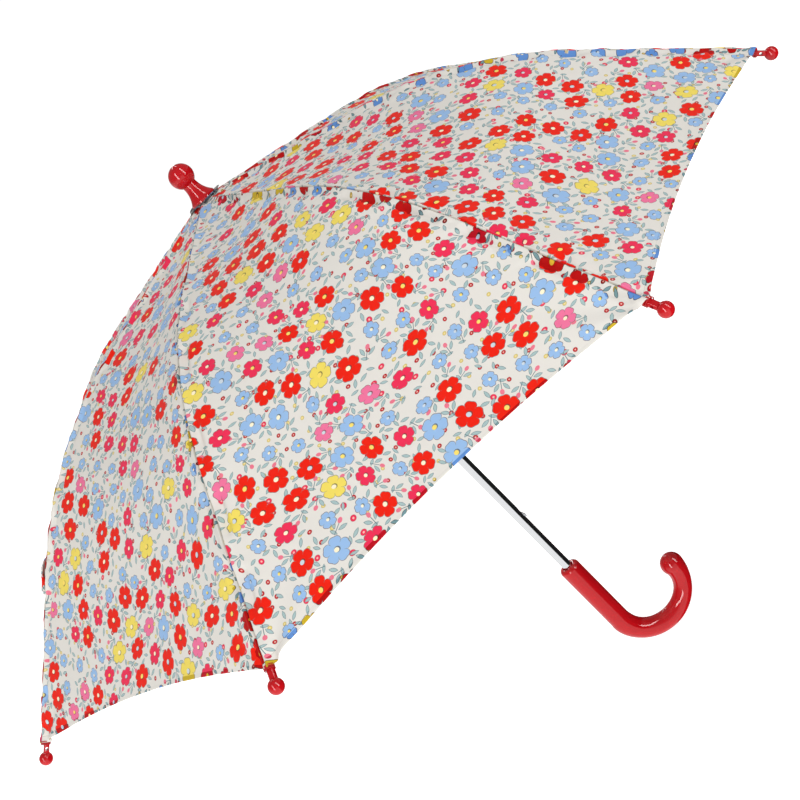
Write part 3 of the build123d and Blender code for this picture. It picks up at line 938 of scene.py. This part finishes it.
# Studio: soft white all round. Shiny surfaces reflect two tall strip lights before the object,
# walls that are white low down and grey higher up, and a dark corner low on the +X side.
BACKDROP = 1.05
AMBIENT = (0.53, 0.53, 0.54)
LOW_WALL, HIGH_WALL, DARK_CORNER = (0.95,) * 3, (0.26,) * 3, (0.012,) * 3
STRIP_LIGHT = (11.0,) * 3
# Each strip's two edges as bearings, x / (1 - y) of a direction, and both strips' heights
STRIPS = ((-0.30, -0.20), (0.39, 0.49))
STRIP_LOW, STRIP_HIGH = -0.1, 0.85
world = bpy.data.worlds.new("studio")
bpy.context.scene.world = world
world.use_nodes = True
g = Graph(world.node_tree)
world.node_tree.nodes.clear()
direction = g.node("ShaderNodeTexCoord", out=0)
sideways, ahead, upward = g.split(direction)
corner = g.math("MULTIPLY_ADD", g.math("MINIMUM", ahead, 0.0), 0.42, sideways)
corner = g.node("ShaderNodeMapRange", corner, 0.0, 0.04, 0.0, 1.0)
corner = g.times(corner, g.less(upward, 0.12))
height = g.node("ShaderNodeMapRange", upward, -0.05, 0.25, 0.0, 1.0)
walls = g.mix(height, LOW_WALL, HIGH_WALL)
walls = g.mix(corner, walls, DARK_CORNER)
bearing = g.math("DIVIDE", sideways, g.math("SUBTRACT", 1.001, ahead))
strips = 0.0
for left_edge, right_edge in STRIPS:
    inside = g.times(g.less(left_edge, bearing), g.less(bearing, right_edge))
    strips = g.add(strips, inside)
strips = g.times(strips, g.times(g.less(STRIP_LOW, upward), g.less(upward, STRIP_HIGH)))
walls = g.mix(strips, walls, STRIP_LIGHT)
light_path = world.node_tree.nodes.new("ShaderNodeLightPath")
surround = g.mix(light_path.outputs["Is Glossy Ray"], AMBIENT, walls)
lit = g.node("ShaderNodeBackground", surround, 1.0)
backdrop = g.node("ShaderNodeBackground", (1, 1, 1, 1), BACKDROP)
world_shader = g.node("ShaderNodeMixShader", light_path.outputs["Is Camera Ray"], lit, backdrop)
world_out = world.node_tree.nodes.new("ShaderNodeOutputWorld")
world.node_tree.links.new(world_shader, world_out.inputs["Surface"])

# An unseen black card beside the handle keeps scattered light off the +X side
CARD_X, CARD_HALF, CARD_TOP = 0.15, 0.6, 0.28
card_corners = [
    (CARD_X, -CARD_HALF, 0.0),
    (CARD_X, CARD_HALF, 0.0),
    (CARD_X, CARD_HALF, CARD_TOP),
    (CARD_X, -CARD_HALF, CARD_TOP),
]
card = new_object("black_card", card_corners, [(0, 1, 2, 3)])
set_material(card, new_material("black_card", (0.01, 0.01, 0.01), 1.0)[0])
card.visible_camera = card.visible_shadow = card.visible_glossy = False

FLOOR_RADIUS, FLOOR_SIDES, FLOOR_HEIGHT = 6, 64, -0.003
floor_points = []
for i in range(FLOOR_SIDES):
    angle = 2 * math.pi * i / FLOOR_SIDES
    x, y = FLOOR_RADIUS * math.cos(angle), FLOOR_RADIUS * math.sin(angle)
    floor_points.append((x, y, FLOOR_HEIGHT))
floor = new_object("floor", floor_points, [tuple(range(FLOOR_SIDES))])
floor_material, floor_shader = new_material("floor", (0.80, 0.80, 0.80), 0.9)
floor_shader.inputs["Emission Color"].default_value = (1, 1, 1, 1)
floor_shader.inputs["Emission Strength"].default_value = 0.75
set_material(floor, floor_material)
floor.visible_glossy = False

bpy.context.scene.view_settings.view_transform = "Standard"

CAMERA_PLACE = Vector((0.0312, -0.8997, 0.5578))
CAMERA_RIGHT = Vector((0.716, -0.169, -0.677)).normalized()
CAMERA_FORWARD = Vector((-0.035, 0.960, -0.277)).normalized()
camera_up = CAMERA_RIGHT.cross(CAMERA_FORWARD).normalized()
camera_right = CAMERA_FORWARD.cross(camera_up)
camera = bpy.data.objects.new("camera", bpy.data.cameras.new("camera"))
camera.data.lens = 56.3
camera.data.sensor_width = 36
axes = Matrix((camera_right, camera_up, -CAMERA_FORWARD)).transposed()
camera.matrix_world = Matrix.Translation(CAMERA_PLACE) @ axes.to_4x4()
bpy.context.scene.collection.objects.link(camera)
bpy.context.scene.camera = camera
